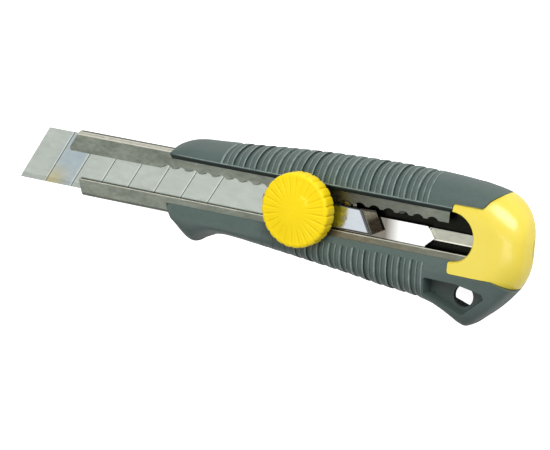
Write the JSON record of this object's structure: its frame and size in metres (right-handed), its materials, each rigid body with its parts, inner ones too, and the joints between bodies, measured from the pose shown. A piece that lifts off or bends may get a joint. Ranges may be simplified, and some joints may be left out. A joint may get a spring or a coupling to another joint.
{
  "type": "utility knife",
  "caption": "Snap-off blade utility knife: steel blade channel in a ribbed two-material handle, sliding blade carrier locked by a fluted wheel, pull-off end cap, lanyard hole.",
  "frame": {"origin": "centre of the bounding box's base: on the flat back of the handle, midway along the knife and across it", "axes": "+X from the blade's tip to the butt, +Y towards the blade's spine, +Z out of the face with the lock wheel"},
  "size_m": [0.1836, 0.0455, 0.0228],
  "materials": {
    "handle_moulding": "satin moulded grey-green",
    "grip_rubber": "soft matte, ribbed",
    "core_plastic": "dark moulded",
    "channel_steel": "satin rolled sheet",
    "blade_steel": "ground",
    "carrier_steel": "polished",
    "block_chrome": "bright plated",
    "spring_steel": "plain",
    "insert_brass": "turned",
    "wheel_plastic": "satin yellow",
    "cap_plastic": "glossy yellow"
  },
  "bodies": {
    "handle": {"handle_body": "handle_moulding", "grip_high": "grip_rubber", "grip_low": "grip_rubber", "handle_core": "core_plastic", "blade_channel": "channel_steel", "channel_rivets": "channel_steel", "spare_blades": "blade_steel"},
    "slider": {"carrier_plate": "carrier_steel", "blade": "blade_steel", "blade_peg": "carrier_steel", "slot_guide": "core_plastic", "slider_block": "block_chrome", "block_rivets": "carrier_steel", "wheel_stud": "carrier_steel", "detent_spring": "spring_steel"},
    "washers": {"clamp_washer": "spring_steel", "spring_washer": "spring_steel"},
    "wheel": {"lock_wheel": "wheel_plastic", "wheel_insert": "insert_brass"},
    "cap": {"end_cap": "cap_plastic"}
  },
  "joints": [
    {"name": "slider_slide", "type": "slide", "parent": "handle", "child": "slider", "axis": [1, 0, 0], "range_m": [-0.045, 0.025], "deforming": ["detent_spring"]},
    {"name": "wheel_lift", "type": "slide", "parent": "slider", "child": "washers", "axis": [0, 0, 1], "range_m": [0, 0.000525]},
    {"name": "wheel_turn", "type": "hinge", "parent": "washers", "child": "wheel", "pos_m": [0.0166, 0.0047, 0.017], "axis": [0, 0, 1], "range_deg": [0, 272]},
    {"name": "cap_pull", "type": "slide", "parent": "handle", "child": "cap", "axis": [1, 0, 0], "range_m": [0, 0.03]}
  ],
  "couplings": [
    {"joint": "wheel_turn", "follows": "wheel_lift", "rad_per_m": 8976}
  ]
}
